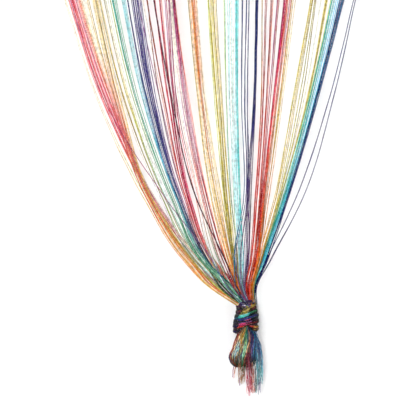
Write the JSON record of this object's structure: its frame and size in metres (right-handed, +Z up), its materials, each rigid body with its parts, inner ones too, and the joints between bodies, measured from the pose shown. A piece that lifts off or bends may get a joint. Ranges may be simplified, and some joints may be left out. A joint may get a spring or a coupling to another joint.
{
  "type": "string curtain",
  "caption": "String curtain of many-coloured yarns on a heading tape, gathered to one side and tied in its own knot, with a folded tail and loose ends.",
  "frame": {"origin": "middle of the heading's top edge, where the curtain is hung", "axes": "+X along the heading, to the right as seen from the front; +Y to the back, towards the wall; +Z up"},
  "size_m": [0.9, 0.0558, 1.597],
  "materials": {
    "heading_tape": "plain woven tape, matte",
    "yarn_rose": "twisted yarn, slight lustre",
    "yarn_magenta": "twisted yarn, slight lustre",
    "yarn_peach": "twisted yarn, slight lustre",
    "yarn_gold": "twisted yarn, slight lustre",
    "yarn_olive": "twisted yarn, slight lustre",
    "yarn_aqua": "twisted yarn, slight lustre",
    "yarn_navy": "twisted yarn, slight lustre",
    "yarn_knot": "twisted yarns wound together, mixed colours",
    "yarn_tail": "twisted yarns folded together, mixed colours"
  },
  "bodies": {
    "root": {"heading": "heading_tape", "strings_edge_olive": "yarn_olive", "strings_rose_1": "yarn_rose", "strings_magenta_1": "yarn_magenta", "strings_peach_1": "yarn_peach", "strings_gold_1": "yarn_gold", "strings_olive_1": "yarn_olive", "strings_aqua_1": "yarn_aqua", "strings_navy_1": "yarn_navy", "strings_rose_2": "yarn_rose", "strings_stray_plum": "yarn_navy", "strings_magenta_2": "yarn_magenta", "strings_peach_2": "yarn_peach", "strings_gold_2": "yarn_gold", "strings_olive_2": "yarn_olive", "strings_aqua_2": "yarn_aqua", "strings_stray_teal": "yarn_navy", "strings_navy_2": "yarn_navy", "strings_rose_3": "yarn_rose", "strings_magenta_3": "yarn_magenta", "strings_peach_3": "yarn_peach", "strings_gold_3": "yarn_gold", "strings_olive_3": "yarn_olive", "strings_aqua_3": "yarn_aqua", "strings_navy_3": "yarn_navy", "strings_edge_navy": "yarn_navy", "knot": "yarn_knot", "tail": "yarn_tail"}
  },
  "joints": []
}
